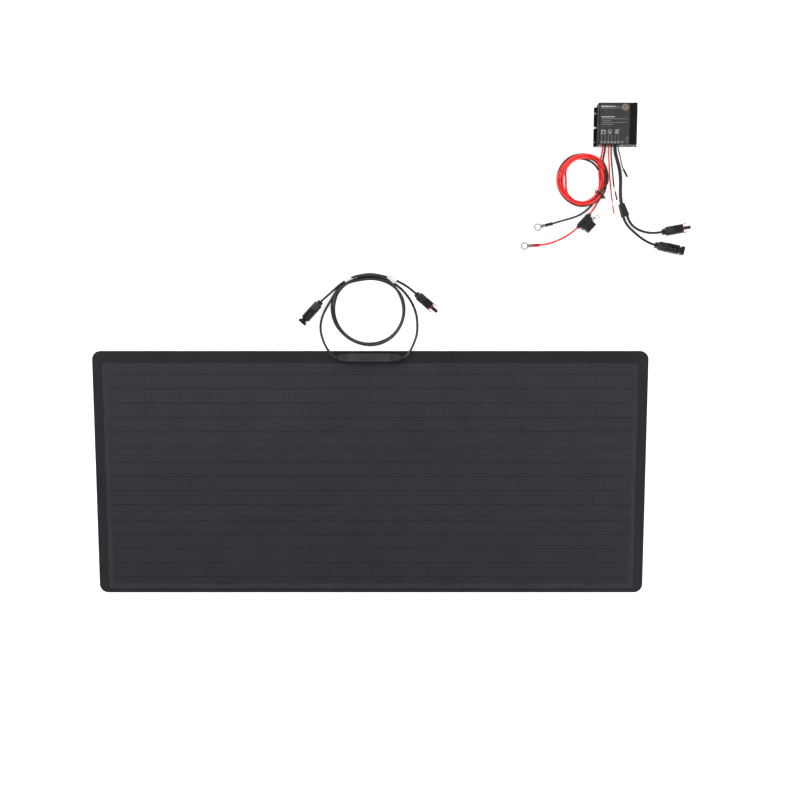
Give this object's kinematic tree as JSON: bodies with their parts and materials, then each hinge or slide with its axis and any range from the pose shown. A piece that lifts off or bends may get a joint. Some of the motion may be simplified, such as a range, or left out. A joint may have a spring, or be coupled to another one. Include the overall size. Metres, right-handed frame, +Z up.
{
  "type": "flexible solar panel kit",
  "caption": "Thin flexible solar panel with junction box and coiled leads, with a finned charge controller, fused battery leads, load wires, plug connectors and a sensor.",
  "frame": {"origin": "centre of the flat panel's underside", "axes": "+X along the panel's long side, +Y across it towards the charge controller, +Z up from the surface the kit lies on"},
  "size_m": [1.2411, 1.0178, 0.0224],
  "materials": {
    "board": "matte",
    "cell": "satin",
    "ribbon": "satin",
    "film": "gloss",
    "jbox_plastic": "fine texture",
    "rubber_black": "matte",
    "circuit_parts": "satin",
    "lead_black": "matte",
    "tape_white": "matte",
    "connector_plastic": "fine texture",
    "tinned": "satin",
    "seal_red": "satin",
    "case_black": "black anodised",
    "screw_steel": "satin",
    "label": "satin",
    "lens": "gloss",
    "wire_red": "satin",
    "wire_black": "satin",
    "tie_black": "satin",
    "sleeve_black": "satin",
    "sleeve_red": "satin",
    "fuse_plastic": "satin",
    "fuse_body": "translucent",
    "copper": "bright"
  },
  "bodies": {
    "panel": {"back_board": "board", "solar_cells": "cell", "cell_ribbons": "ribbon", "front_film": "film", "jbox_base": "jbox_plastic", "jbox_gasket": "rubber_black", "jbox_end_caps": "jbox_plastic", "jbox_circuit": "tinned", "panel_lead_a": "lead_black", "panel_lead_b": "lead_black", "panel_lead_ring": "lead_black", "lead_wraps": "tape_white", "panel_plug_housing": "connector_plastic", "panel_socket_housing": "connector_plastic", "panel_plug_nut": "connector_plastic", "panel_socket_nut": "connector_plastic", "panel_plug_contact": "tinned", "panel_socket_contact": "tinned", "panel_plug_seals": "seal_red", "panel_socket_seal": "rubber_black"},
    "controller_kit": {"controller_case": "case_black", "front_plate": "case_black", "back_plate": "case_black", "plate_screws": "screw_steel", "controller_label": "label", "indicator_lights": "lens", "circuit_board": "circuit_parts", "battery_lead_red": "wire_red", "battery_lead_black": "wire_black", "battery_coil": "wire_red", "coil_tie": "tie_black", "sleeve_black": "sleeve_black", "sleeve_red": "sleeve_red", "ring_terminals": "tinned", "fuse_base": "fuse_plastic", "blade_fuse": "fuse_body", "cap_strap": "fuse_plastic", "load_wire_red": "wire_red", "load_wire_black": "wire_black", "load_cores": "copper", "pv_cable": "lead_black", "pv_splitter": "connector_plastic", "pv_lead_upper": "lead_black", "pv_lead_lower": "lead_black", "sensor_cable": "wire_black", "sensor_probe": "rubber_black", "pv_plug_housing": "connector_plastic", "pv_socket_housing": "connector_plastic", "pv_plug_nut": "connector_plastic", "pv_socket_nut": "connector_plastic", "pv_plug_contact": "tinned", "pv_socket_contact": "tinned", "pv_plug_seals": "seal_red", "pv_socket_seal": "rubber_black"},
    "jbox_lid": {"jbox_lid": "jbox_plastic"},
    "fuse_cap": {"fuse_cap": "fuse_plastic"},
    "panel_latch_left": {"panel_plug_latch_left": "connector_plastic"},
    "panel_latch_right": {"panel_plug_latch_right": "connector_plastic"},
    "pv_latch_left": {"pv_plug_latch_left": "connector_plastic"},
    "pv_latch_right": {"pv_plug_latch_right": "connector_plastic"}
  },
  "joints": [
    {"name": "jbox_lid_lift", "type": "slide", "parent": "panel", "child": "jbox_lid", "axis": [0, 0, 1], "range_m": [0, 0.012]},
    {"name": "controller_lift", "type": "slide", "parent": "panel", "child": "controller_kit", "axis": [0, 0, 1], "range_m": [0, 0.1]},
    {"name": "fuse_cap_pull", "type": "slide", "parent": "controller_kit", "child": "fuse_cap", "axis": [0.7325, -0.6807, 0], "range_m": [0, 0.014]},
    {"name": "panel_latch_left_press", "type": "hinge", "parent": "panel", "child": "panel_latch_left", "pos_m": [0.12545, 0.36244, 0.0092], "axis": [0, 0, 1], "range_deg": [-4, 0], "stiffness_Nm_per_rad": 0.3},
    {"name": "panel_latch_right_press", "type": "hinge", "parent": "panel", "child": "panel_latch_right", "pos_m": [0.11474, 0.3499, 0.0092], "axis": [0, 0, 1], "range_deg": [0, 4], "stiffness_Nm_per_rad": 0.3},
    {"name": "pv_latch_left_press", "type": "hinge", "parent": "controller_kit", "child": "pv_latch_left", "pos_m": [0.63194, 0.51679, 0.0092], "axis": [0, 0, 1], "range_deg": [-4, 0], "stiffness_Nm_per_rad": 0.3},
    {"name": "pv_latch_right_press", "type": "hinge", "parent": "controller_kit", "child": "pv_latch_right", "pos_m": [0.63472, 0.50053, 0.0092], "axis": [0, 0, 1], "range_deg": [0, 4], "stiffness_Nm_per_rad": 0.3}
  ]
}
